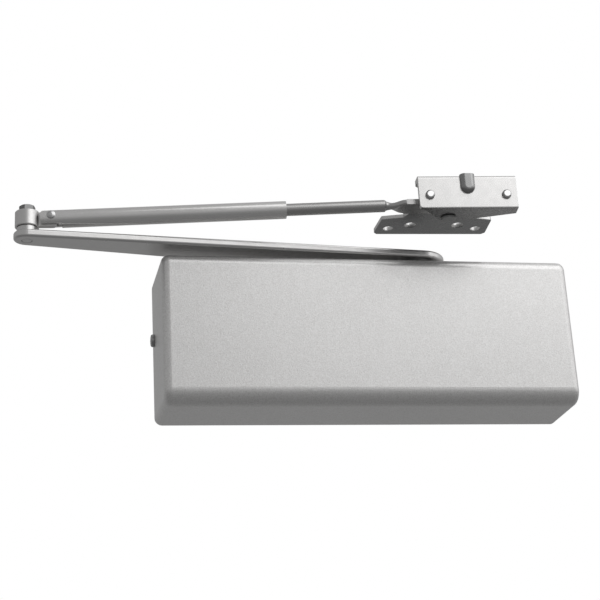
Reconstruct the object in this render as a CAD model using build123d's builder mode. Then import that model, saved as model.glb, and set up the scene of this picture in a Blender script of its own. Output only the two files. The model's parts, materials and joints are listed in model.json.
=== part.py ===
from build123d import *
from math import acos, cos, pi, radians, sin, tan
import os

os.makedirs("parts", exist_ok=True)

# Surface-mounted door closer with a folding two-piece arm. Millimetres.
# The back plate lies on the door at y = 0, +Y goes into the door and +Z is up.
# The origin is the centre of the four door bolts, on the door's face.

# ---------------------------------------------------------------- driving dimensions
cover_width = 311.0
cover_depth = 63.5
cover_height = 113.2
cover_wall = 2.0
bottom_round = 11.7         # lower front edge of the cover
top_round = 7.5
end_round = 5.6
left_flare = 1.2            # how much further out each end is at the rim than at the front
right_flare = 3.6
slot_radius = 15.0
free_gap = 0.3              # between pieces that move past each other
running = 0.05              # radial clearance of shafts and bores that turn or slide

spindle_x = 45.0
spindle_y = -33.0
bore_radius = 18.0          # hydraulic cylinder
barrel_radius = 25.0
barrel_end = 138.0
foot_x = 111.0              # centre of each cast mounting foot
door_bolt_x = 121.0
door_bolt_z = 38.0
body_screw_x = 101.0

module = 1.75
pinion_teeth = 12
pressure_angle = radians(25)
backlash = 0.12
pinion_height = 16.0
neck_radius = 8.0           # spindle beside the pinion, inside the piston
journal_radius = 9.5
spindle_square = 13.0

arm_bottom = 60.6
arm_thickness = 6.0
arm_edge = 1.8
arm_length = 299.0          # spindle axis to elbow axis
arm_fold = 7.0              # degrees that the folded arm stands away from the door
hub_radius = 22.0
elbow_radius = 9.5

forearm_height = 76.45      # forearm axis where it crosses the elbow axis
forearm_turn = -5.0         # degrees in plan, from +X
forearm_rise = 2.0          # degrees
forearm_length = 306.8      # elbow axis to foot pivot, in plan
tube_radius = 6.5
tube_start = 9.6
tube_end = 186.2
rod_radius = 4.5
rod_inner_end = 110.0
rod_shoulder = 260.0
knuckle_radius = 8.65
knuckle_bottom = 70.35
knuckle_top = 82.35
rivet_along = 17.1
rivet_lift = 1.0
tongue_thickness = 5.0
slot_end = 25.1

foot_level = 76.05          # underside of the foot bracket's flange
foot_plate = 4.0
foot_left = -24.3
foot_right = 48.9
foot_front = -18.0
foot_height = 25.9
foot_screw_gap = 57.15
foot_screw_height = 10.2
paddle_bottom = 7.0
paddle_top = 11.0
soffit_turn = -3.5
soffit_bottom = 12.2
soffit_thickness = 3.0

cover_screw_y = -8.0
cover_screw_z = 6.9

# ---------------------------------------------------------------- derived places
cover_top = cover_height / 2
inner_top = cover_top - cover_wall
pitch_radius = module * pinion_teeth / 2
rack_pitch = pi * module
arm_top = arm_bottom + arm_thickness
arm_heading = 180 + arm_fold
elbow_x = spindle_x + arm_length * cos(radians(arm_heading))
elbow_y = spindle_y + arm_length * sin(radians(arm_heading))
pivot_x = elbow_x + forearm_length * cos(radians(forearm_turn))
pivot_y = elbow_y + forearm_length * sin(radians(forearm_turn))


def heading(turn, rise=0.0):
    """Direction at an angle in plan from +X, climbing by rise degrees."""
    level = cos(radians(rise))
    return Vector(level * cos(radians(turn)), level * sin(radians(turn)), sin(radians(rise)))


def level_frame(x, y, z, turn):
    """Upright frame at a point, its X axis at an angle in plan."""
    return Plane(origin=(x, y, z), x_dir=heading(turn), z_dir=(0, 0, 1))


def across(frame, along):
    """Section plane at a distance along a frame's X axis: its X is the frame's Y."""
    return Plane(frame.from_local_coords((along, 0, 0)), x_dir=frame.y_dir, z_dir=frame.x_dir)


def beside(frame, sideways):
    """Upright plane at a distance along a frame's Y axis: its X and Y are the frame's X and Z."""
    origin = frame.from_local_coords((0, sideways, 0))
    return Plane(origin, x_dir=frame.x_dir, z_dir=-frame.y_dir)


def corner_cut(plane, across_flats, height):
    """Profile that turns the corners off one end of a hexagon. The plane's X runs outwards."""
    flat = across_flats / 2
    corner = flat / cos(pi / 6)
    drop = (corner - flat * 0.97) * tan(pi / 6)
    with BuildSketch(plane) as profile:
        Polygon(
            (flat * 0.97, height + 1), (corner + 1, height + 1), (corner + 1, height - drop - tan(pi / 6)),
            (flat * 0.97, height), align=None,
        )
    return profile.sketch


def save(piece, name):
    piece.part.label = name
    export_step(piece.part, f"parts/{name}.step")


spindle_axis = level_frame(spindle_x, spindle_y, 0, 0)
arm = level_frame(spindle_x, spindle_y, 0, arm_heading)
elbow = level_frame(elbow_x, elbow_y, forearm_height, forearm_turn)
forearm = Plane(
    origin=(elbow_x, elbow_y, forearm_height),
    x_dir=heading(forearm_turn, forearm_rise),
    z_dir=heading(forearm_turn, forearm_rise + 90),
)
foot = level_frame(pivot_x, pivot_y, foot_level, forearm_turn)
soffit = level_frame(pivot_x, pivot_y, foot_level, soffit_turn)
cylinder_axis = Plane(origin=(0, spindle_y, 0), x_dir=(0, 1, 0), z_dir=(1, 0, 0))


def cylinder_at(x):
    """Section of the hydraulic cylinder at x, seen along the cylinder."""
    return cylinder_axis.offset(x)


# ---------------------------------------------------------------- cover
# Deep pressed cover: soft front edges, thin walls, open towards the door.
# A slot in the top lets it pull forward off the spindle, and one in each end off its screw.
with BuildPart() as cover:
    with BuildSketch(Plane.XZ.offset(cover_depth)):
        Rectangle(cover_width, cover_height)
    with BuildSketch(Plane.XZ):
        with Locations(((right_flare - left_flare) / 2, 0)):
            Rectangle(cover_width + left_flare + right_flare, cover_height)
    loft()
    fillet(cover.faces().sort_by(Axis.Y)[0].edges().sort_by(Axis.Z)[0], bottom_round)
    fillet(cover.faces().sort_by(Axis.Y)[0].edges().sort_by(Axis.Z)[-1], top_round)
    ends = [cover.faces().sort_by(Axis.X)[0], cover.faces().sort_by(Axis.X)[-1]]
    fillet([edge for face in ends for edge in face.edges() if edge.center().Y < -0.1], end_round)
    offset(amount=-cover_wall, openings=cover.faces().sort_by(Axis.Y)[-1])
    with BuildSketch(Plane.XY.offset(cover_top)):
        with Locations((spindle_x, spindle_y / 2)):
            Rectangle(2 * slot_radius, -spindle_y)
        with Locations((spindle_x, spindle_y)):
            Circle(slot_radius)
    extrude(amount=-3 * cover_wall, mode=Mode.SUBTRACT)
    with BuildSketch(Plane.YZ):
        with Locations((cover_screw_y, cover_screw_z)):
            Circle(2.7)
        with Locations((cover_screw_y / 2, cover_screw_z)):
            Rectangle(-cover_screw_y, 5.4)
    extrude(amount=cover_width, both=True, mode=Mode.SUBTRACT)
save(cover, "cover")


def end_face(end, y):
    """x of the cover's outer face at its left (-1) or right (1) end, y from the door."""
    flare = left_flare if end < 0 else right_flare
    return end * (cover_width / 2 + flare * (1 + y / cover_depth))


# Pan-head screws that clamp the cover's ends to the back plate's tabs.
with BuildPart() as cover_screws:
    for end in (-1, 1):
        head_x = end_face(end, 0) + end * 0.05
        seat = Plane((head_x, cover_screw_y, cover_screw_z), z_dir=(end, 0, 0))
        with BuildSketch(seat):
            Circle(4.8)
        extrude(amount=2.4)
        fillet(cover_screws.faces().sort_by(Axis.X)[0 if end < 0 else -1].edges(), 1.4)
        with BuildSketch(seat):
            Circle(2.4)
        extrude(amount=-9)
        with BuildSketch(seat.offset(2.4)):
            Rectangle(5, 0.9)
            Rectangle(0.9, 5)
        extrude(amount=-1.3, mode=Mode.SUBTRACT)
save(cover_screws, "cover_screws")

# ---------------------------------------------------------------- back plate and housing
# Steel plate against the door, with a tab folded forward at each end for the cover screws.
tab_depth = 22.0
plate_left = end_face(-1, -tab_depth) + cover_wall + free_gap
plate_right = end_face(1, -tab_depth) - cover_wall - free_gap
with BuildPart() as back_plate:
    with BuildSketch(Plane.XZ):
        with Locations(((plate_left + plate_right) / 2, 0)):
            RectangleRounded(plate_right - plate_left, 2 * (inner_top - free_gap), 5)
    extrude(amount=3)
    for end, outer in ((-1, plate_left), (1, plate_right)):
        with BuildSketch(Plane.YZ.offset(outer - end * 3)):
            with Locations((-tab_depth / 2, cover_screw_z)):
                RectangleRounded(tab_depth, 26, 4)
            with Locations((-4, cover_screw_z)):
                Rectangle(8, 26)
        extrude(amount=end * 3)
    with BuildSketch(Plane.YZ):
        with Locations((cover_screw_y, cover_screw_z)):
            Circle(2.4)
    extrude(amount=cover_width, both=True, mode=Mode.SUBTRACT)
    with BuildSketch(Plane.XZ):
        with GridLocations(2 * door_bolt_x, 2 * door_bolt_z, 2, 2):
            Circle(3.6)
        with GridLocations(2 * body_screw_x, 2 * door_bolt_z, 2, 2):
            Circle(3.0)
    extrude(amount=3, mode=Mode.SUBTRACT)
    with BuildSketch(Plane.XZ):
        with GridLocations(130, 70, 2, 2):
            SlotOverall(60, 14)
    extrude(amount=3, mode=Mode.SUBTRACT)
save(back_plate, "back_plate")

# Casting: cylinder barrel, spindle boss, valve block and two feet, with all its bores.
boss_half = 46.0
bearing_radius = 13.5
cap_radius = 16.0
valve_y = -56.0
valve_z = -25.0
valve_places = {"sweep_valve": -80.0, "latch_valve": -60.0, "backcheck_valve": -40.0}
plug_radius = 20.0
plug_length = 16.0
with BuildPart() as housing:
    with BuildSketch(cylinder_at(-barrel_end)):
        Circle(barrel_radius)
    extrude(amount=2 * barrel_end)
    with BuildSketch(Plane.XY):
        with Locations((spindle_x, spindle_y)):
            Circle(23)
    extrude(amount=boss_half, both=True)
    for end in (-1, 1):
        with BuildSketch(Plane.XZ.offset(3)):
            with Locations((end * foot_x, 0)):
                RectangleRounded(40, 2 * boss_half, 8)
        extrude(amount=10)
        with BuildSketch(Plane.XZ.offset(3)):
            with Locations((end * foot_x, 0)):
                Rectangle(24, 44)
        extrude(amount=30)
    with BuildSketch(Plane.XZ.offset(3)):
        Rectangle(2 * foot_x, 18)
    extrude(amount=12)
    with BuildSketch(Plane.XZ.offset(-valve_y)):
        with Locations((-60, valve_z)):
            RectangleRounded(62, 14, 5)
    extrude(amount=-26)
    with BuildSketch(cylinder_at(-barrel_end)):
        Circle(bore_radius)
    extrude(amount=2 * barrel_end, mode=Mode.SUBTRACT)
    for end in (-1, 1):
        with BuildSketch(cylinder_at(end * barrel_end)):
            Circle(plug_radius)
        extrude(amount=-end * plug_length, mode=Mode.SUBTRACT)
        with BuildSketch(Plane.XY.offset(end * boss_half)):
            with Locations((spindle_x, spindle_y)):
                Circle(cap_radius)
        extrude(amount=-end * 8, mode=Mode.SUBTRACT)
        with BuildSketch(Plane.XY.offset(end * (boss_half - 8))):
            with Locations((spindle_x, spindle_y)):
                Circle(bearing_radius)
        extrude(amount=-end * 18, mode=Mode.SUBTRACT)
    with BuildSketch(Plane.XY):
        with Locations((spindle_x, spindle_y)):
            Circle(13)
    extrude(amount=22, both=True, mode=Mode.SUBTRACT)
    for x in valve_places.values():
        with BuildSketch(Plane.XZ.offset(-valve_y)):
            with Locations((x, valve_z)):
                Circle(3 + running)
        extrude(amount=-20, mode=Mode.SUBTRACT)
        with BuildSketch(Plane.XY.offset(valve_z)):
            with Locations((x, valve_y + 18)):
                Circle(1.2)
        extrude(amount=14, mode=Mode.SUBTRACT)
    with BuildSketch(Plane.XZ.offset(3)):
        with GridLocations(2 * door_bolt_x, 2 * door_bolt_z, 2, 2):
            Circle(3.6)
        with GridLocations(2 * body_screw_x, 2 * door_bolt_z, 2, 2):
            Circle(3.2)
    extrude(amount=10, mode=Mode.SUBTRACT)
save(housing, "housing")

# Socket-head screws that hold the casting to the back plate.
with BuildPart() as body_screws:
    with BuildSketch(Plane.XZ.offset(13)):
        with GridLocations(2 * body_screw_x, 2 * door_bolt_z, 2, 2):
            Circle(5)
    extrude(amount=6)
    with BuildSketch(Plane.XZ.offset(13)):
        with GridLocations(2 * body_screw_x, 2 * door_bolt_z, 2, 2):
            Circle(2.95)
    extrude(amount=-12.5)
    with BuildSketch(Plane.XZ.offset(19)):
        with GridLocations(2 * body_screw_x, 2 * door_bolt_z, 2, 2):
            RegularPolygon(2.9, 6)
    extrude(amount=-3.5, mode=Mode.SUBTRACT)
save(body_screws, "body_screws")

# ---------------------------------------------------------------- cylinder ends
seal_groove = 2.0


def end_plug(end):
    """Screwed plug of the cylinder: seal groove, hex socket, and a tapped hole on the left."""
    outer = end * barrel_end
    with BuildPart() as plug:
        with BuildSketch(cylinder_at(outer)):
            Circle(plug_radius - running)
        extrude(amount=-end * plug_length)
        with BuildSketch(cylinder_at(outer - end * 10)):
            Circle(plug_radius)
            Circle(plug_radius - seal_groove, mode=Mode.SUBTRACT)
        extrude(amount=-end * 2.6, mode=Mode.SUBTRACT)
        if end < 0:
            with BuildSketch(cylinder_at(outer)):
                Circle(4 + running)
            extrude(amount=-end * plug_length, mode=Mode.SUBTRACT)
        else:
            with BuildSketch(cylinder_at(outer)):
                RegularPolygon(7, 6)
            extrude(amount=-end * 8, mode=Mode.SUBTRACT)
    return plug


left_end_plug = end_plug(-1)
save(left_end_plug, "left_end_plug")
right_end_plug = end_plug(1)
save(right_end_plug, "right_end_plug")

with BuildPart() as end_plug_o_rings:
    for end in (-1, 1):
        with BuildSketch(Plane((end * (barrel_end - 11.3), spindle_y, 0), x_dir=(0, 1, 0), z_dir=(0, 0, 1))):
            with Locations((plug_radius - 1, 0)):
                Circle(0.95)
        revolve(axis=Axis((0, spindle_y, 0), (1, 0, 0)))
save(end_plug_o_rings, "end_plug_o_rings")

# Spring seat pushed along by the power adjusting screw.
seat_face = -114.0
with BuildPart() as spring_seat:
    with BuildSketch(cylinder_at(seat_face)):
        Circle(bore_radius - 0.2)
    extrude(amount=-6)
    with BuildSketch(cylinder_at(seat_face)):
        Circle(7)
    extrude(amount=5)
    with BuildSketch(cylinder_at(seat_face - 6)):
        Circle(4.2)
    extrude(amount=3.5, mode=Mode.SUBTRACT)
save(spring_seat, "spring_seat")

with BuildPart() as power_adjust_screw:
    with BuildSketch(cylinder_at(-barrel_end - free_gap)):
        RegularPolygon(6.5, 6, major_radius=False)
    extrude(amount=-6)
    outward = Plane((-barrel_end - free_gap, spindle_y, 0), x_dir=(0, 1, 0), z_dir=(0, 0, 1))
    add(corner_cut(outward, 13, 6))
    revolve(axis=Axis((0, spindle_y, 0), (1, 0, 0)), mode=Mode.SUBTRACT)
    with BuildSketch(cylinder_at(-barrel_end - free_gap)):
        Circle(4)
    extrude(amount=barrel_end + seat_face - 3)
    with BuildSketch(cylinder_at(-barrel_end - free_gap - 6)):
        Rectangle(1.2, 9)
    extrude(amount=2, mode=Mode.SUBTRACT)
save(power_adjust_screw, "power_adjust_screw")

# ---------------------------------------------------------------- piston and springs
rack_addendum = 0.95 * module
rack_root = 1.25 * module
window_left = 31.0
window_right = 91.0
window_front = -13.2        # measured from the spindle axis
piston_left = 9.0
piston_right = 113.0


def rack_tooth(x):
    """Corners of one rack tooth, standing on the root line and pointing at the pinion."""
    half_pitch_line = rack_pitch / 4 - backlash
    half_tip = half_pitch_line - rack_addendum * tan(pressure_angle)
    half_root = half_pitch_line + rack_root * tan(pressure_angle)
    tip = spindle_y + pitch_radius - rack_addendum
    root = spindle_y + pitch_radius + rack_root + 0.5
    return [(x - half_root, root), (x - half_tip, tip), (x + half_tip, tip), (x + half_root, root)]


with BuildPart() as piston:
    with BuildSketch(cylinder_at(piston_left)):
        Circle(bore_radius - running)
    extrude(amount=piston_right - piston_left)
    window_back = pitch_radius + rack_root
    with BuildSketch(Plane.XY):
        with Locations(((window_left + window_right) / 2, spindle_y + (window_front + window_back) / 2)):
            Rectangle(window_right - window_left, window_back - window_front)
    extrude(amount=bore_radius, both=True, mode=Mode.SUBTRACT)
    with BuildSketch(Plane.XY):
        for tooth in range(-2, 8):
            x = spindle_x + (tooth + 0.5) * rack_pitch
            Polygon(*rack_tooth(x), align=None)
    extrude(amount=pinion_height / 2 + 1, both=True)
    with BuildSketch(cylinder_at(piston_right)):
        Circle(4)
    extrude(amount=-14, mode=Mode.SUBTRACT)
    with BuildSketch(cylinder_at(piston_right)):
        Circle(1.8)
    extrude(amount=-24, mode=Mode.SUBTRACT)
    with BuildSketch(cylinder_at(piston_left)):
        Circle(9)
    extrude(amount=8, mode=Mode.SUBTRACT)
save(piston, "piston")

with BuildPart() as check_ball:
    with Locations((piston_right - 11.2, spindle_y, 0)):
        Sphere(2.78)
save(check_ball, "check_ball")

with BuildPart() as check_ball_retainer:
    with BuildSketch(cylinder_at(piston_right - 1)):
        Circle(4)
        Circle(1.6, mode=Mode.SUBTRACT)
    extrude(amount=-4)
save(check_ball_retainer, "check_ball_retainer")


def coil_spring(coil_radius, wire_radius, turns):
    """Round-wire compression spring between the spring seat and the piston."""
    start = seat_face + wire_radius + 0.1
    length = piston_left - wire_radius - 0.1 - start
    with BuildPart() as spring:
        with BuildLine():
            first = (start, spindle_y, 0)
            coil = Helix(length / turns, length, coil_radius, center=first, direction=(1, 0, 0))
        with BuildSketch(Plane(coil @ 0, z_dir=coil % 0)):
            Circle(wire_radius)
        sweep(is_frenet=True)
    return spring


main_spring = coil_spring(14.5, 2.5, 13)
save(main_spring, "main_spring")
inner_spring = coil_spring(9.0, 1.6, 18)
save(inner_spring, "inner_spring")

# ---------------------------------------------------------------- spindle and pinion


def involute_turn(radius):
    """Angle between a tooth's centre line and its flank at a radius, in radians."""
    base = pitch_radius * cos(pressure_angle)
    contact = acos(min(1, base / radius))
    at_pitch = pi / (2 * pinion_teeth) - backlash / pitch_radius
    return at_pitch + (tan(pressure_angle) - pressure_angle) - (tan(contact) - contact)


def pinion_tooth():
    """Corners of one pinion tooth pointing along +X, flanks as involutes."""
    base = pitch_radius * cos(pressure_angle)
    tip = pitch_radius + module
    root = pitch_radius - 1.3 * module
    steps = 5
    radii = [base + (tip - base) * step / steps for step in range(steps + 1)]
    flank = [(root, involute_turn(base))] + [(radius, involute_turn(radius)) for radius in radii]
    upper = [(radius * cos(turn), radius * sin(turn)) for radius, turn in flank]
    lower = [(x, -y) for x, y in reversed(upper)]
    return upper + lower


with BuildPart() as spindle:
    with BuildSketch(spindle_axis):
        Circle(pitch_radius - 1.25 * module)
        with PolarLocations(0, pinion_teeth, start_angle=90):
            Polygon(*pinion_tooth(), align=None)
    extrude(amount=pinion_height / 2, both=True)
    with BuildSketch(spindle_axis):
        Circle(neck_radius)
    extrude(amount=20, both=True)
    with BuildSketch(spindle_axis.offset(20)):
        Circle(journal_radius)
    extrude(amount=arm_bottom - 20)
    with BuildSketch(spindle_axis.offset(-20)):
        Circle(journal_radius)
    extrude(amount=-30)
    with BuildSketch(spindle_axis.offset(arm_bottom)):
        Rectangle(spindle_square, spindle_square, rotation=arm_heading)
    extrude(amount=arm_thickness - 0.8)
    with BuildSketch(spindle_axis.offset(arm_top)):
        Circle(4)
    extrude(amount=-20, mode=Mode.SUBTRACT)
save(spindle, "spindle")


def spindle_ring(bottom, height, outer, inner):
    """Plain ring around the spindle axis."""
    with BuildPart() as ring:
        with BuildSketch(spindle_axis.offset(bottom)):
            Circle(outer)
            Circle(inner, mode=Mode.SUBTRACT)
        extrude(amount=height)
    return ring


upper_bearing = spindle_ring(21, 11, bearing_radius, journal_radius + running)
save(upper_bearing, "upper_bearing")
lower_bearing = spindle_ring(-32, 11, bearing_radius, journal_radius + running)
save(lower_bearing, "lower_bearing")

with BuildPart() as spindle_seals:
    for bottom in (32.4, -37.4):
        with BuildSketch(spindle_axis.offset(bottom)):
            Circle(bearing_radius)
            Circle(journal_radius + running, mode=Mode.SUBTRACT)
        extrude(amount=5)
save(spindle_seals, "spindle_seals")


def spindle_cap(end):
    """Screwed bearing cap with a hexagon flange on the end of the boss."""
    with BuildPart() as cap:
        with BuildSketch(spindle_axis.offset(end * (boss_half - 8))):
            Circle(cap_radius)
        extrude(amount=end * 8)
        with BuildSketch(spindle_axis.offset(end * boss_half)):
            RegularPolygon(18, 6, major_radius=False)
        extrude(amount=end * 4)
        with BuildSketch(spindle_axis):
            Circle(journal_radius + free_gap)
        extrude(amount=60, both=True, mode=Mode.SUBTRACT)
    return cap


upper_spindle_cap = spindle_cap(1)
save(upper_spindle_cap, "upper_spindle_cap")
lower_spindle_cap = spindle_cap(-1)
save(lower_spindle_cap, "lower_spindle_cap")

# ---------------------------------------------------------------- regulating valves


def valve(x):
    """Needle valve with a screwdriver slot in its outer end."""
    axis = Axis((x, valve_y, valve_z), (0, 1, 0))
    with BuildPart() as needle:
        with BuildSketch(Plane((x, valve_y, valve_z), x_dir=(0, 1, 0), z_dir=(0, 0, 1))):
            with BuildLine():
                Polyline((0.3, 0), (0.3, 3), (8, 3), (8, 2.2), (14, 2.2), (19.3, 0.6), (19.3, 0), close=True)
            make_face()
        revolve(axis=axis)
        with BuildSketch(Plane.XZ.offset(-valve_y)):
            with Locations((x, valve_z)):
                Rectangle(7, 1)
        extrude(amount=-1.8, mode=Mode.SUBTRACT)
    return needle


for valve_name, valve_x in valve_places.items():
    save(valve(valve_x), valve_name)

# ---------------------------------------------------------------- main arm
with BuildPart() as main_arm:
    with BuildSketch(arm.offset(arm_bottom)):
        Circle(hub_radius)
        with Locations((arm_length, 0)):
            Circle(elbow_radius)
        make_hull()
    extrude(amount=arm_thickness)
    fillet(main_arm.faces().filter_by(Axis.Z).edges(), arm_edge)
    with BuildSketch(arm.offset(arm_bottom)):
        Rectangle(spindle_square + 0.1, spindle_square + 0.1)
        with Locations((arm_length, 0)):
            Circle(3.9)
    extrude(amount=arm_thickness, mode=Mode.SUBTRACT)
save(main_arm, "main_arm")

washer_thickness = 1.2
with BuildPart() as arm_washer:
    with BuildSketch(spindle_axis.offset(arm_top)):
        Circle(11)
        Circle(4.2, mode=Mode.SUBTRACT)
    extrude(amount=washer_thickness)
save(arm_washer, "arm_washer")

with BuildPart() as arm_screw:
    with BuildSketch(spindle_axis.offset(arm_top + washer_thickness)):
        RegularPolygon(6.5, 6, major_radius=False)
    extrude(amount=4.2)
    add(corner_cut(beside(spindle_axis, 0), 13, arm_top + washer_thickness + 4.2))
    revolve(axis=Axis((spindle_x, spindle_y, 0), (0, 0, 1)), mode=Mode.SUBTRACT)
    with BuildSketch(spindle_axis.offset(arm_top + washer_thickness)):
        Circle(3.98)
    extrude(amount=-20)
save(arm_screw, "arm_screw")

# ---------------------------------------------------------------- elbow
# Stud riveted into the arm's end: shoulder, journal for the knuckle, thread for the nut.
nut_height = 4.35
with BuildPart() as elbow_stud:
    with BuildSketch(Plane((elbow_x, elbow_y, 0), x_dir=heading(forearm_turn), z_dir=-forearm.y_dir)):
        with BuildLine():
            Polyline(
                (0, arm_bottom), (3.3, arm_bottom), (3.9, arm_bottom + 0.6), (3.9, arm_top), (7.3, arm_top),
                (7.3, knuckle_bottom - free_gap), (4, knuckle_bottom - free_gap), (4, knuckle_top + 0.25),
                (3, knuckle_top + 0.25), (3, 85.9), (2.5, 86.4), (0, 86.4), close=True,
            )
        make_face()
    revolve(axis=Axis((elbow_x, elbow_y, 0), (0, 0, 1)))
save(elbow_stud, "elbow_stud")

with BuildPart() as elbow_nut:
    with BuildSketch(level_frame(elbow_x, elbow_y, knuckle_top + 0.3, 12)):
        RegularPolygon(5.1, 6, major_radius=False)
        Circle(3, mode=Mode.SUBTRACT)
    extrude(amount=nut_height)
    add(corner_cut(beside(elbow, 0), 10.2, knuckle_top + 0.3 + nut_height - forearm_height))
    revolve(axis=Axis((elbow_x, elbow_y, 0), (0, 0, 1)), mode=Mode.SUBTRACT)
save(elbow_nut, "elbow_nut")

knuckle_level = level_frame(elbow_x, elbow_y, knuckle_bottom, forearm_turn)
knuckle_bore = 5.25
rivet = forearm.from_local_coords((rivet_along, 0, rivet_lift))
rivet_in_knuckle = elbow.to_local_coords(rivet)
tongue_end = 22.0
with BuildPart() as elbow_knuckle:
    with BuildSketch(knuckle_level):
        Circle(knuckle_radius)
    extrude(amount=knuckle_top - knuckle_bottom)
    fillet(elbow_knuckle.faces().filter_by(Axis.Z).edges(), 0.8)
    with BuildSketch(beside(elbow, -tongue_thickness / 2)):
        with Locations((tongue_end / 2, -0.1)):
            RectangleRounded(tongue_end, 10.2, 4)
        with Locations((tongue_end / 4, -0.1)):
            Rectangle(tongue_end / 2, 10.2)
    extrude(amount=-tongue_thickness)
    with BuildSketch(knuckle_level):
        Circle(knuckle_bore)
    extrude(amount=knuckle_top - knuckle_bottom, mode=Mode.SUBTRACT)
    with BuildSketch(beside(elbow, -tongue_thickness / 2)):
        with Locations((rivet_in_knuckle.X, rivet_in_knuckle.Z)):
            Circle(2.5 + running)
    extrude(amount=-tongue_thickness, mode=Mode.SUBTRACT)
save(elbow_knuckle, "elbow_knuckle")

with BuildPart() as elbow_bushing:
    with BuildSketch(knuckle_level):
        Circle(knuckle_bore)
        Circle(4 + running, mode=Mode.SUBTRACT)
    extrude(amount=knuckle_top - knuckle_bottom)
save(elbow_bushing, "elbow_bushing")

# ---------------------------------------------------------------- forearm
# Drawn tube, forked at the elbow, with the adjustable rod sliding in its far end.
lock_along = 174.0
lock_tilt = 22.0
lock_plane = Plane(
    forearm.from_local_coords((lock_along, 0, 0)),
    x_dir=forearm.x_dir,
    z_dir=forearm.y_dir * cos(radians(lock_tilt)) + forearm.z_dir * sin(radians(lock_tilt)),
)
with BuildPart() as forearm_tube:
    with BuildSketch(across(forearm, tube_start)):
        Circle(tube_radius)
    extrude(amount=tube_end - tube_start)
    with BuildSketch(beside(forearm, -tube_radius)):
        with Locations((tube_start + 7, 0)):
            RectangleRounded(40, 30, 1)
        with Locations((tube_start + 10, 0.1)):
            RectangleRounded(20, 13.2, 4.4, mode=Mode.SUBTRACT)
        with Locations((tube_start + 15, 0.1)):
            Rectangle(25, 14, mode=Mode.SUBTRACT)
        with Locations((tube_start + 6, -9.5)):
            Rectangle(18, 10)
    extrude(amount=-2 * tube_radius, mode=Mode.SUBTRACT)
    with BuildSketch(across(forearm, tube_start)):
        Circle(rod_radius + 0.06)
    extrude(amount=tube_end - tube_start, mode=Mode.SUBTRACT)
    with BuildSketch(beside(forearm, -(tongue_thickness / 2 + free_gap))):
        with Locations((slot_end / 2, 0)):
            Rectangle(slot_end, 20)
    extrude(amount=-(tongue_thickness + 2 * free_gap), mode=Mode.SUBTRACT)
    with BuildSketch(beside(forearm, -tube_radius)):
        with Locations((rivet_along, rivet_lift)):
            Circle(2.5)
    extrude(amount=-2 * tube_radius, mode=Mode.SUBTRACT)
    with BuildSketch(lock_plane):
        Circle(2)
    extrude(amount=2 * tube_radius, mode=Mode.SUBTRACT)
save(forearm_tube, "forearm_tube")

# Rivet that hinges the fork on the knuckle's tongue, with a low domed head on each side.
ear_face = tube_radius + 0.02
head_top = ear_face + 1.2
with BuildPart() as knuckle_rivet:
    with BuildSketch(Plane(rivet, x_dir=forearm.y_dir, z_dir=forearm.z_dir)):
        with BuildLine():
            Polyline(
                (-head_top, 0), (-head_top, 1), (-ear_face - 0.8, 2.4), (-ear_face - 0.3, 3.15),
                (-ear_face, 3.15), (-ear_face, 2.5), (ear_face, 2.5), (ear_face, 3.15),
                (ear_face + 0.3, 3.15), (ear_face + 0.8, 2.4), (head_top, 1), (head_top, 0), close=True,
            )
        make_face()
    revolve(axis=Axis(rivet, forearm.y_dir))
save(knuckle_rivet, "knuckle_rivet")

with BuildPart() as length_lock_screw:
    with BuildSketch(lock_plane.offset(rod_radius + 0.1)):
        Circle(2)
    extrude(amount=2.4)
    with BuildSketch(lock_plane.offset(tube_radius + 0.05)):
        RegularPolygon(4, 6, major_radius=False)
    extrude(amount=3.5)
    lock_side = Plane(lock_plane.origin, x_dir=lock_plane.x_dir, z_dir=-lock_plane.y_dir)
    add(corner_cut(lock_side, 8, tube_radius + 0.05 + 3.5))
    revolve(axis=Axis(lock_plane.origin, lock_plane.z_dir), mode=Mode.SUBTRACT)
save(length_lock_screw, "length_lock_screw")

# Round rod whose end is forged flat: it narrows to a twisted neck and spreads into an eye.
neck_stations = [
    # along, height, width, thickness, corner, twist: measured from the foot pivot
    (-47.0, 9.5, 8.4, 8.4, 4.1, 0),
    (-43.0, 9.3, 8.0, 5.0, 2.3, 27),
    (-40.0, 9.1, 11.0, 4.4, 1.9, 13),
    (-36.5, 9.0, 15.5, 4.0, 1.4, 3),
    (-32.0, 9.0, 18.0, 4.0, 1.2, 0),
]
paddle_half = 9.0
with BuildPart() as forearm_rod:
    with BuildSketch(across(forearm, rod_inner_end)):
        Circle(rod_radius)
    extrude(amount=rod_shoulder - rod_inner_end)
    chamfer(forearm_rod.faces().sort_by(Axis.X)[0].edges(), 0.6)
    fillet(forearm_rod.faces().sort_by(Axis.X)[-1].edges(), 0.8)
    for along, height, width, thickness, corner, twist in neck_stations:
        with BuildSketch(across(foot, along)):
            with Locations(Location((0, height), twist)):
                RectangleRounded(width, thickness, corner)
    loft()
    with BuildSketch(foot.offset(paddle_bottom)):
        with Locations((neck_stations[-1][0] / 2, 0)):
            Rectangle(-neck_stations[-1][0], 2 * paddle_half)
        Circle(paddle_half)
    extrude(amount=paddle_top - paddle_bottom)
    with BuildSketch(foot):
        Circle(4)
    extrude(amount=foot_height, mode=Mode.SUBTRACT)
save(forearm_rod, "forearm_rod")

# ---------------------------------------------------------------- foot pivot
with BuildPart() as foot_rivet:
    with BuildSketch(foot.offset(-1.6)):
        Circle(5.75)
    extrude(amount=1.3)
    fillet(foot_rivet.faces().sort_by(Axis.Z)[0].edges(), 0.9)
    with BuildSketch(foot.offset(-0.3)):
        Circle(4)
    extrude(amount=15.8)
    with BuildSketch(foot.offset(15.5)):
        Circle(6)
    extrude(amount=1.8)
    fillet(foot_rivet.faces().sort_by(Axis.Z)[-1].edges(), 1.2)
save(foot_rivet, "foot_rivet")


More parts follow.
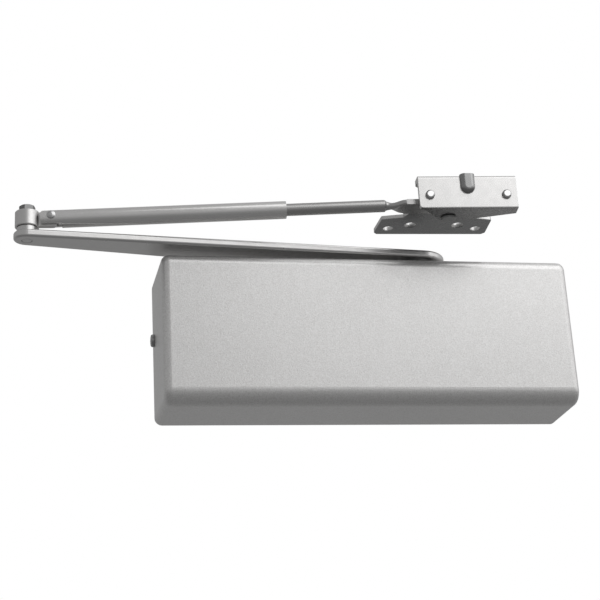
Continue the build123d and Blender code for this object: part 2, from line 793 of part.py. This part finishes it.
def pivot_ring(bottom, top, outer):
    """Ring around the foot rivet."""
    with BuildPart() as ring:
        with BuildSketch(foot.offset(bottom)):
            Circle(outer)
            Circle(4, mode=Mode.SUBTRACT)
        extrude(amount=top - bottom)
    return ring


pivot_spacer = pivot_ring(foot_plate + free_gap, paddle_bottom, 7)
save(pivot_spacer, "pivot_spacer")
pivot_washer = pivot_ring(paddle_top, soffit_bottom - free_gap, 8)
save(pivot_washer, "pivot_washer")

# ---------------------------------------------------------------- foot bracket
# Pressed bracket: upright plate with a stiffening bead, a rolled top edge,
# and a three-cornered flange at the bottom that carries the pivot.
foot_back = foot_front + foot_plate
top_flange_end = -2.4
bead_x = 12.2
bead_radius = 5.5
bead_bottom = 11.2
bead_proud = 3.6
bead_level = bead_bottom + bead_radius
with BuildPart() as bead:
    with BuildSketch(beside(foot, foot_front + 1)):
        with Locations((bead_x, (bead_level + foot_height) / 2)):
            Rectangle(2 * bead_radius, foot_height - bead_level)
        with Locations((bead_x, bead_level)):
            Circle(bead_radius)
    extrude(amount=bead_proud + 1)
    crown = bead.faces().sort_by(Axis(foot.origin, -foot.y_dir))[-1]
    fillet([edge for edge in crown.edges() if edge.center().Z < foot_level + foot_height - 0.1], 3.4)

with BuildPart() as foot_bracket:
    with BuildSketch(beside(foot, foot_front)):
        with Locations(((foot_left + foot_right) / 2, foot_height / 2)):
            RectangleRounded(foot_right - foot_left, foot_height, 3)
        with Locations(((foot_left + foot_right) / 2, foot_height * 0.75)):
            Rectangle(foot_right - foot_left, foot_height / 2)
    extrude(amount=-foot_plate)
    with BuildSketch(foot.offset(foot_height - foot_plate)):
        Polygon(
            (foot_left, foot_front), (foot_right, foot_front), (foot_right, -7),
            (foot_right - 4, top_flange_end), (foot_left + 4, top_flange_end), (foot_left, -7), align=None,
        )
    extrude(amount=foot_plate)
    long_edges = foot_bracket.edges().filter_by(lambda edge: edge.length > 50)
    fillet(long_edges.group_by(Axis.Z)[-1].sort_by(Axis.Y)[0], 2.6)
    with BuildSketch(foot):
        with Locations((1.0, 1.3)):
            Circle(7.2)
        with Locations((foot_left + 3.2, foot_front + 2), (foot_right - 0.4, foot_front + 0.4)):
            Circle(0.4)
        with Locations((foot_right + 0.4, -7)):
            Circle(0.4)
        make_hull()
    extrude(amount=foot_plate)
    add(bead)
    with BuildSketch(foot):
        Circle(4 + running)
    extrude(amount=foot_plate, mode=Mode.SUBTRACT)
    with BuildSketch(beside(foot, foot_front)):
        with Locations((bead_x, foot_screw_height)):
            with GridLocations(foot_screw_gap, 1, 2, 1):
                Circle(3.15)
    extrude(amount=-foot_plate, mode=Mode.SUBTRACT)
save(foot_bracket, "foot_bracket")

screw_front = foot_front - 2.6
foot_front_way = Axis(foot.origin, -foot.y_dir)
with BuildPart() as foot_screws:
    with BuildSketch(beside(foot, screw_front)):
        with Locations((bead_x, foot_screw_height)):
            with GridLocations(foot_screw_gap, 1, 2, 1):
                Circle(3.15)
    extrude(amount=screw_front - foot_back)
    chamfer(foot_screws.faces().group_by(foot_front_way)[-1].edges(), 0.95)
    with BuildSketch(beside(foot, foot_back)):
        with Locations((bead_x, foot_screw_height)):
            with GridLocations(foot_screw_gap, 1, 2, 1):
                Circle(5.6)
    extrude(amount=-3)
    fillet(foot_screws.faces().group_by(foot_front_way)[0].edges(), 1.4)
    with BuildSketch(beside(foot, foot_back + 3)):
        with Locations((bead_x, foot_screw_height)):
            with GridLocations(foot_screw_gap, 1, 2, 1):
                Rectangle(5.6, 1.1)
                Rectangle(1.1, 5.6)
    extrude(amount=1.6, mode=Mode.SUBTRACT)
save(foot_screws, "foot_screws")

# ---------------------------------------------------------------- soffit bracket
with BuildPart() as soffit_bracket:
    with BuildSketch(soffit.offset(soffit_bottom)):
        Circle(11)
        with Locations((-23.6, 21.8), (23.6, 21.8)):
            Circle(0.4)
        make_hull()
        Polygon(
            (-43, 33.4), (-27, 29.7), (-24, 21.8), (24, 21.8), (27, 29.7), (43, 33.4),
            (44.4, 59), (42, 62), (-42, 62), (-44.4, 59), align=None,
        )
    extrude(amount=soffit_thickness)
    corners = soffit_bracket.edges().filter_by(Axis.Z)
    fillet([edge for edge in corners if abs(soffit.to_local_coords(edge.center()).X) > 40], 1.8)
    with BuildSketch(soffit.offset(soffit_bottom)):
        Circle(4 + running)
        with Locations((-34.65, 51), (34.65, 51)):
            Circle(4.1)
        with Locations((-18.6, 44.2), (18.6, 44.2)):
            Circle(3.45)
    extrude(amount=soffit_thickness, mode=Mode.SUBTRACT)
    underside = soffit_bracket.faces().filter_by(Axis.Z).sort_by(Axis.Z)[0]
    rims = underside.edges().filter_by(GeomType.CIRCLE)
    chamfer([rim for rim in rims if abs(rim.radius - 3.45) < 0.01], 1.6)
save(soffit_bracket, "soffit_bracket")
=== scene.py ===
import json
import math

import bmesh
import bpy
from mathutils import Matrix, Vector


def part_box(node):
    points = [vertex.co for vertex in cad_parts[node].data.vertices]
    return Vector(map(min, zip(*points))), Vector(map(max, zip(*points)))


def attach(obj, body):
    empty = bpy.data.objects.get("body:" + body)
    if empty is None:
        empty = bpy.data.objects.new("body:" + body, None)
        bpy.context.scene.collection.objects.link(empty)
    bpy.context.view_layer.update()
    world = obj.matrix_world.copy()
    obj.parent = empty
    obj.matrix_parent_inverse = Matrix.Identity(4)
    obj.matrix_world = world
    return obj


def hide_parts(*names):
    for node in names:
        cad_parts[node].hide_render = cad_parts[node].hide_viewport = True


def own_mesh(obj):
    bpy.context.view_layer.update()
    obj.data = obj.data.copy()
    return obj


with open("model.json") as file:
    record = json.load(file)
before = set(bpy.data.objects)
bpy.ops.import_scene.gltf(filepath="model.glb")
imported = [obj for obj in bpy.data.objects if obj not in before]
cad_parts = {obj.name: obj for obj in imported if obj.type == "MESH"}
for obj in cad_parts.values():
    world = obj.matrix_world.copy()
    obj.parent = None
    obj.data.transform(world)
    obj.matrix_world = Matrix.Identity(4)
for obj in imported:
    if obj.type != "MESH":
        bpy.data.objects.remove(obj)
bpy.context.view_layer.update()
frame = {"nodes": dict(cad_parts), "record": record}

nodes = frame["nodes"]
wear_patches = 60.0         # noise scale of the patches in which edges are rubbed


# ------------------------------------------------------------------ node helpers
def join(tree, value, socket):
    """Link a socket to an input, or set the input to a plain value."""
    if isinstance(value, bpy.types.NodeSocket):
        tree.links.new(value, socket)
    else:
        socket.default_value = value


def colour_of(value):
    """A colour as an input takes it: a socket as it is, three numbers with alpha 1."""
    return value if isinstance(value, bpy.types.NodeSocket) else (*value, 1)


def arithmetic(tree, kind, a, b):
    node = tree.nodes.new("ShaderNodeMath")
    node.operation = kind
    join(tree, a, node.inputs[0])
    join(tree, b, node.inputs[1])
    return node.outputs["Value"]


def map_range(tree, value, low, high, to_low, to_high, smooth=False):
    node = tree.nodes.new("ShaderNodeMapRange")
    if smooth:
        node.interpolation_type = "SMOOTHSTEP"
    for name, number in (("From Min", low), ("From Max", high), ("To Min", to_low), ("To Max", to_high)):
        node.inputs[name].default_value = number
    join(tree, value, node.inputs["Value"])
    return node.outputs["Result"]


def mix_colours(tree, amount, a, b):
    node = tree.nodes.new("ShaderNodeMix")
    node.data_type = "RGBA"
    join(tree, amount, node.inputs["Factor"])
    for colour, name in ((a, "A"), (b, "B")):
        socket = next(s for s in node.inputs if s.name == name and s.type == "RGBA")
        join(tree, colour_of(colour), socket)
    return next(s for s in node.outputs if s.type == "RGBA")


# ------------------------------------------------------------------ materials
class Tree:
    """A material's node tree, with short calls for adding and joining nodes."""

    def __init__(self, name):
        self.material = bpy.data.materials.new(name)
        self.material.use_nodes = True
        self.tree = self.material.node_tree
        self.shader = self.tree.nodes["Principled BSDF"]
        self.place = self.tree.nodes.new("ShaderNodeTexCoord").outputs["Object"]

    def join(self, value, socket):
        join(self.tree, value, socket)

    def mapped(self, scale):
        node = self.tree.nodes.new("ShaderNodeMapping")
        node.inputs["Scale"].default_value = scale
        self.join(self.place, node.inputs["Vector"])
        return node.outputs["Vector"]

    def along(self, way):
        node = self.tree.nodes.new("ShaderNodeVectorMath")
        node.operation = "DOT_PRODUCT"
        self.join(self.place, node.inputs[0])
        node.inputs[1].default_value = way
        return node.outputs["Value"]

    def noise(self, scale, detail=3.0, where=None, rough=0.5):
        node = self.tree.nodes.new("ShaderNodeTexNoise")
        node.inputs["Scale"].default_value = scale
        node.inputs["Detail"].default_value = detail
        node.inputs["Roughness"].default_value = rough
        self.join(where or self.place, node.inputs["Vector"])
        return node.outputs["Fac"]

    def flakes(self, size):
        node = self.tree.nodes.new("ShaderNodeTexVoronoi")
        node.inputs["Scale"].default_value = 1 / size
        self.join(self.place, node.inputs["Vector"])
        grey = self.tree.nodes.new("ShaderNodeRGBToBW")
        self.join(node.outputs["Color"], grey.inputs["Color"])
        return grey.outputs["Val"]

    def math(self, kind, a, b):
        return arithmetic(self.tree, kind, a, b)

    def spread(self, value, low, high, to_low=0.0, to_high=1.0):
        return map_range(self.tree, value, low, high, to_low, to_high)

    def mix(self, amount, a, b):
        return mix_colours(self.tree, amount, a, b)

    def edges(self, radius, amount):
        """Where the surface turns a corner within radius: 0 on flats, up to amount on edges, in patches."""
        bevel = self.tree.nodes.new("ShaderNodeBevel")
        bevel.samples = 4
        bevel.inputs["Radius"].default_value = radius
        facing = self.tree.nodes.new("ShaderNodeVectorMath")
        facing.operation = "DOT_PRODUCT"
        self.join(bevel.outputs["Normal"], facing.inputs[0])
        self.join(self.tree.nodes.new("ShaderNodeNewGeometry").outputs["Normal"], facing.inputs[1])
        sharp = self.spread(facing.outputs["Value"], 0.97, 0.80)
        patches = self.spread(self.noise(wear_patches), 0.35, 0.65, 0.25 * amount, amount)
        return self.math("MULTIPLY", sharp, patches)

    def bump(self, height, depth):
        node = self.tree.nodes.new("ShaderNodeBump")
        node.inputs["Strength"].default_value = 1.0
        node.inputs["Distance"].default_value = depth
        self.join(height, node.inputs["Height"])
        self.join(node.outputs["Normal"], self.shader.inputs["Normal"])

    def finish(self, colour, roughness, metallic=0.0):
        self.join(colour_of(colour), self.shader.inputs["Base Color"])
        self.join(roughness, self.shader.inputs["Roughness"])
        self.shader.inputs["Metallic"].default_value = metallic
        return self.material


def grey(value, warm=0.0):
    return (value * (1 + warm), value, value * (1 - warm))


def lacquer(name, tone, roughness, metallic, grain, depth, wear=0.5, fleck=0.2, painted_shade_zones=()):
    """Silver metallic paint: fine flakes, slight orange peel, and brighter, smoother rubbed edges.

    Each painted shade zone is a direction, a distance and a factor: past that distance the colour is darkened
    by the factor, as painted shade.
    """
    t = Tree(name)
    cloud = t.noise(9.0, 4.0)
    speck = t.flakes(grain)
    even = t.mix(t.spread(cloud, 0.3, 0.7), grey(tone * 0.97, 0.012), grey(tone * 1.03, 0.012))
    flaked = t.mix(t.spread(speck, 0.1, 0.9, 0.0, 0.5), even, grey(tone * (1 + fleck)))
    colour = t.mix(t.spread(t.noise(1100.0, 2.0), 0.58, 0.75, 0.0, 0.4), flaked, grey(tone * (1 - fleck)))
    # Painted shade: beyond each zone's distance the colour is darkened.
    for way, distance, factor in painted_shade_zones:
        shade_mask = t.spread(t.along(way), distance, distance + 0.0004)
        colour = t.mix(shade_mask, colour, grey(tone * factor))
    rub = t.edges(0.0005, wear)
    colour = t.mix(rub, colour, grey(min(0.95, tone * 1.2), 0.01))
    rough = t.spread(t.math("ADD", t.noise(160.0), t.math("MULTIPLY", rub, -0.6)), 0.0, 1.0,
                     roughness - 0.06, roughness + 0.06)
    t.bump(t.math("ADD", t.noise(1500.0, 2.0), t.math("MULTIPLY", speck, 0.6)), depth)
    return t.finish(colour, rough, metallic)


def metal(name, tone, roughness, grain, lines=(1.0, 1.0, 1.0), wear=0.6, dark=0.8):
    """Bare or plated metal. A number under 1 in lines stretches the tool marks along that axis."""
    t = Tree(name)
    streak = t.noise(grain, 3.0, t.mapped(lines), 0.6)
    cloud = t.noise(30.0, 4.0)
    base = t.mix(t.spread(streak, 0.3, 0.7), grey(tone * dark), grey(tone))
    stained = t.mix(t.spread(cloud, 0.55, 0.75, 0.0, 0.5), base, grey(tone * dark * 0.85, 0.02))
    colour = t.mix(t.edges(0.0004, wear), stained, grey(min(0.95, tone * 1.3)))
    t.bump(streak, 0.00002)
    rough = t.spread(t.math("ADD", streak, cloud), 0.5, 1.5, roughness - 0.07, roughness + 0.1)
    return t.finish(colour, rough, 1.0)


def casting(name, tone):
    """Painted sand casting: coarse skin with pits."""
    t = Tree(name)
    skin = t.noise(420.0, 5.0, rough=0.65)
    pits = t.spread(t.noise(900.0, 2.0), 0.28, 0.40)
    colour = t.mix(t.spread(skin, 0.3, 0.7), grey(tone * 0.75, 0.01), grey(tone * 1.1, 0.01))
    colour = t.mix(t.edges(0.0008, 0.7), colour, grey(tone * 1.7, 0.02))
    t.bump(t.math("ADD", skin, t.math("MULTIPLY", pits, 0.5)), 0.00018)
    return t.finish(colour, t.spread(skin, 0.2, 0.8, 0.45, 0.7), 0.15)


def rubber(name):
    t = Tree(name)
    fine = t.noise(1300.0, 3.0)
    t.bump(fine, 0.00003)
    return t.finish(t.mix(t.spread(fine, 0.3, 0.7), grey(0.018), grey(0.035)), 0.62)


def bronze(name, tone):
    """Porous bronze, or brass in a lighter tone."""
    t = Tree(name)
    pores = t.noise(1600.0, 4.0)
    dark = (tone * 0.6, tone * 0.42, tone * 0.2)
    colour = t.mix(t.spread(pores, 0.35, 0.65), dark, (tone, tone * 0.74, tone * 0.38))
    t.bump(pores, 0.00003)
    return t.finish(colour, t.spread(pores, 0.2, 0.8, 0.3, 0.5), 1.0)


# The foot bracket's frame: its plate stands across screw_way, in front of the pivot.
joints = {joint["name"]: joint for joint in frame["record"]["behaviour"]["joints"]}
foot_turn = math.radians(-5)
screw_way = Vector((math.sin(foot_turn), -math.cos(foot_turn), 0))
screw_across = Vector((math.cos(foot_turn), math.sin(foot_turn), 0))
plate_face = 0.018          # from the foot pivot to the front of the bracket's plate
screws_middle = 0.0122      # from the foot pivot, along the plate
screw_gap = 0.05715
screw_radius = 0.00315
screw_level = sum(corner.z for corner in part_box("foot_screws")) / 2
pivot = Vector((*joints["foot_pivot"]["pos_m"][:2], screw_level))

# One finish for each material slot. Tones, roughness and grain were fitted by measured patches
# to the photo, together with the light.
finishes = {
    "cover_paint": lacquer("cover_paint", 0.63, 0.31, 0.6, 0.0007, 0.00005, wear=0.3, fleck=0.4),
    "arm_paint": lacquer("arm_paint", 0.58, 0.30, 0.9, 0.0003, 0.000006, wear=0.4, fleck=0.1),
    "forearm_paint": lacquer("forearm_paint", 0.72, 0.22, 0.9, 0.00025, 0.000004, wear=0.4, fleck=0.08),
    "plate_paint": lacquer("plate_paint", 0.55, 0.45, 0.5, 0.0006, 0.00003, wear=0.7),
    "knuckle_metal": lacquer("knuckle_metal", 0.60, 0.36, 0.9, 0.0003, 0.000006, wear=0.8, fleck=0.12),
    "cast_body": casting("cast_body", 0.2),
    "turned_steel": metal("turned_steel", 0.6, 0.28, 900.0, (1.0, 1.0, 0.15)),
    "spring_steel": metal("spring_steel", 0.3, 0.35, 500.0),
    "black_oxide": metal("black_oxide", 0.09, 0.42, 500.0, dark=0.7, wear=0.8),
    "zinc_plated": metal("zinc_plated", 0.40, 0.26, 600.0, wear=0.4, dark=0.86),
    "bushing_bronze": bronze("bushing_bronze", 0.55),
    "turned_brass": bronze("turned_brass", 0.75),
    "seal_rubber": rubber("seal_rubber"),
}
# Painted shade: the undersides of both brackets, and the bead proud of the foot's plate, are darkened in
# colour to stand in for shade.
down = Vector((0, 0, -1))
foot_painted_shade = (
    (down, -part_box("foot_bracket")[0].z - 0.0008, 0.35),
    (screw_way, screw_way.dot(pivot) + plate_face + 0.0002, 0.5),
)
# Painted shade: the soffit bracket's underside is darkened in colour.
soffit_painted_shade = ((down, -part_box("soffit_bracket")[0].z - 0.0006, 0.4),)
# Finishes of single nodes, used in place of their slot's.
special = {
    "soffit_bracket": lacquer("soffit_paint", 0.55, 0.28, 0.8, 0.0003, 0.000008, wear=0.6, fleck=0.2,
                              painted_shade_zones=soffit_painted_shade),
    "forearm_rod": lacquer("rod_steel", 0.42, 0.26, 0.9, 0.00025, 0.000004, wear=0.5, fleck=0.08),
    "foot_bracket": lacquer("foot_paint", 0.60, 0.27, 0.92, 0.0003, 0.000006, wear=0.3, fleck=0.08,
                            painted_shade_zones=foot_painted_shade),
    "foot_screws": metal("screw_zinc", 0.85, 0.22, 700.0, dark=0.8, wear=0.3),
    "knuckle_rivet": metal("rivet_steel", 0.60, 0.3, 700.0, wear=0.5),
    "foot_rivet": metal("foot_rivet_steel", 0.32, 0.3, 700.0, wear=0.8, dark=0.6),
    "elbow_nut": metal("nut_steel", 0.24, 0.34, 600.0, wear=0.7),
}
slots = {part["node"]: part["material_slot"] for part in frame["record"]["subparts"]}
for name, node in nodes.items():
    material = special.get(name) or finishes[slots[name]]
    if not node.material_slots:
        node.data.materials.append(material)
    for place in node.material_slots:
        place.material = material


# ------------------------------------------------------------------ wound pieces
def wound(name, rings, material, smooth):
    """Closed piece from rings of points, each joined to the next and capped at both ends."""
    mesh = bmesh.new()
    rings = [[mesh.verts.new(point) for point in ring] for ring in rings]
    around = len(rings[0])
    for one, two in zip(rings, rings[1:]):
        for k in range(around):
            mesh.faces.new((one[k], one[(k + 1) % around], two[(k + 1) % around], two[k]))
    mesh.faces.new(reversed(rings[0]))
    mesh.faces.new(rings[-1])
    bmesh.ops.recalc_face_normals(mesh, faces=mesh.faces)
    for face in mesh.faces:
        face.smooth = smooth and len(face.verts) == 4
    data = bpy.data.meshes.new(name)
    mesh.to_mesh(data)
    mesh.free()
    piece = bpy.data.objects.new(name, data)
    bpy.context.scene.collection.objects.link(piece)
    data.materials.append(material)
    return piece


# ------------------------------------------------------------------ thread on the foot screws' tips
def thread(name, start, along, radius, length, pitch, ridge):
    """One helical ridge of triangular section, wound round an axis and running out at both ends."""
    steps = 36
    turns = length / pitch
    side = along.orthogonal().normalized()
    other = along.cross(side)
    rings = []
    for i in range(int(turns * steps) + 1):
        angle = math.tau * i / steps
        out = side * math.cos(angle) + other * math.sin(angle)
        centre = start + along * (pitch * i / steps)
        fade = min(1.0, i / steps * 2, (turns * steps - i) / steps * 2)
        inner = radius - ridge * 0.3
        rings.append((
            centre + out * inner - along * pitch * 0.4,
            centre + out * (inner + ridge * fade),
            centre + out * inner + along * pitch * 0.4,
        ))
    return wound(name, rings, thread_metal, smooth=False)


thread_metal = metal("thread_metal", 0.14, 0.35, 900.0, wear=0.9)
for side, end in (("left", -1), ("right", 1)):
    start = pivot + screw_across * (screws_middle + end * screw_gap / 2) + screw_way * (plate_face + 0.0001)
    piece = thread(f"screw_thread_{side}", start, screw_way, screw_radius,
                   length=0.0018, pitch=0.0009, ridge=0.0003)
    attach(piece, "foot")


# ------------------------------------------------------------------ springs
def coil_spring(name, node, wire, turns):
    """Round-wire spring along X in a node's box, with flat-cut ends."""
    low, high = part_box(node)
    middle = (low + high) / 2
    radius = (high.z - low.z) / 2 - wire
    first = low.x + wire
    length = high.x - low.x - 2 * wire
    steps, around = 40, 14      # rings to a turn, points to a ring
    rings = []
    for i in range(turns * steps + 1):
        angle = math.tau * i / steps
        out = Vector((0, math.cos(angle), math.sin(angle)))
        centre = Vector((first + length * i / (turns * steps), middle.y, middle.z)) + out * radius
        ring = []
        for k in range(around):
            turn = math.tau * k / around
            offset = out * (wire * math.cos(turn)) + Vector((wire * math.sin(turn), 0, 0))
            ring.append(centre + offset)
        rings.append(ring)
    return wound(name, rings, finishes["spring_steel"], smooth=True)


for node, wire, turns in (("main_spring", 0.0025, 13), ("inner_spring", 0.0016, 18)):
    piece = coil_spring(f"{node}_coil", node, wire, turns)
    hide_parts(node)
    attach(piece, "root")
    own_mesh(piece)


# ------------------------------------------------------------------ camera
def view_from(position, azimuth, elevation, roll, lens):
    """Camera looking along azimuth (from +Y towards +X) and elevation, turned about its own axis by roll."""
    az, el, turn = (math.radians(angle) for angle in (azimuth, elevation, roll))
    ahead = Vector((math.sin(az) * math.cos(el), math.cos(az) * math.cos(el), math.sin(el)))
    right = ahead.cross(Vector((0, 0, 1))).normalized()
    up = right.cross(ahead)
    across = right * math.cos(turn) + up * math.sin(turn)
    above = up * math.cos(turn) - right * math.sin(turn)
    data = bpy.data.cameras.new("photo_camera")
    data.lens = lens
    data.sensor_width = 36.0
    data.clip_start = 0.01
    data.clip_end = 50.0
    camera = bpy.data.objects.new("photo_camera", data)
    bpy.context.scene.collection.objects.link(camera)
    facing = Matrix((across, above, -ahead)).transposed().to_4x4()
    camera.matrix_world = Matrix.Translation(position) @ facing
    return camera


scene = bpy.context.scene
# The camera fitted to the cover's corners in the photo.
scene.camera = view_from((-0.2600, -1.0101, -0.32225), azimuth=12.23, elevation=19.52, roll=-3.31, lens=84.14)

# ------------------------------------------------------------------ studio
scene.view_settings.view_transform = "Standard"
world = bpy.data.worlds.new("studio")
scene.world = world
world.use_nodes = True
sky = world.node_tree
background = sky.nodes["Background"]
direction = sky.nodes.new("ShaderNodeSeparateXYZ")
sky.links.new(sky.nodes.new("ShaderNodeTexCoord").outputs["Generated"], direction.inputs["Vector"])

# Light by angle in the upright plane: 0 is straight ahead of the object, 90 overhead, 180 behind.
light_by_angle = (
    (-180, 0.34), (-160, 0.34), (-100, 0.20), (-45, 0.20), (-20, 0.27), (-6, 0.38), (10, 0.57),
    (25, 0.64), (60, 0.66), (72, 0.72), (88, 0.55), (120, 0.48), (178, 0.34),
)
forward = arithmetic(sky, "MULTIPLY", direction.outputs["Y"], -1.0)
upright = arithmetic(sky, "ARCTAN2", direction.outputs["Z"], forward)
ramp = sky.nodes.new("ShaderNodeValToRGB")
while len(ramp.color_ramp.elements) < len(light_by_angle):
    ramp.color_ramp.elements.new(1.0)
for element, (angle, value) in zip(ramp.color_ramp.elements, light_by_angle):
    element.position = (angle + 180) / 360
    element.color = (value, value, value, 1)
turned = arithmetic(sky, "ADD", arithmetic(sky, "MULTIPLY", upright, 1 / math.tau), 0.5)
sky.links.new(turned, ramp.inputs["Fac"])

# Brighter to the right and dimmer to the left, but only where the ramp is bright: above and in front.
rightward = map_range(sky, direction.outputs["X"], -0.06, 0.46, -0.4, 0.95, smooth=True)
upper_front = map_range(sky, ramp.outputs["Color"], 0.35, 0.65, 0.0, 1.0)
gain = arithmetic(sky, "MULTIPLY", rightward, upper_front)
lit = arithmetic(sky, "MULTIPLY", ramp.outputs["Color"], arithmetic(sky, "ADD", gain, 1.0))

# The camera itself sees plain white behind the object.
to_camera = sky.nodes.new("ShaderNodeLightPath").outputs["Is Camera Ray"]
sky.links.new(mix_colours(sky, to_camera, lit, (1, 1, 1)), background.inputs["Color"])


def softbox(name, place, target, size, power):
    """Rectangular lamp aimed at a point, out of the camera's sight."""
    data = bpy.data.lights.new(name, "AREA")
    data.shape = "RECTANGLE"
    data.size, data.size_y = size
    data.energy = power
    lamp = bpy.data.objects.new(name, data)
    lamp.visible_camera = False
    scene.collection.objects.link(lamp)
    lamp.location = place
    lamp.rotation_euler = (Vector(target) - Vector(place)).to_track_quat("-Z", "Y").to_euler()


softbox("key", place=(0.75, -1.45, 1.35), target=(0, 0, 0), size=(1.8, 1.6), power=8)

# Pale floor below the object. It stays out of reflections and bounces, which would lighten the undersides.
floor_radius = 3.0
floor_level = -0.75
bpy.ops.mesh.primitive_circle_add(vertices=96, radius=floor_radius, fill_type="NGON",
                                  location=(0, 0, floor_level))
floor = bpy.context.object
floor.name = "floor"
pale = Tree("floor_paper")
floor.data.materials.append(pale.finish(pale.mix(pale.noise(3.0), grey(0.92), grey(0.95)), 0.8))
floor.visible_glossy = False
floor.visible_diffuse = False
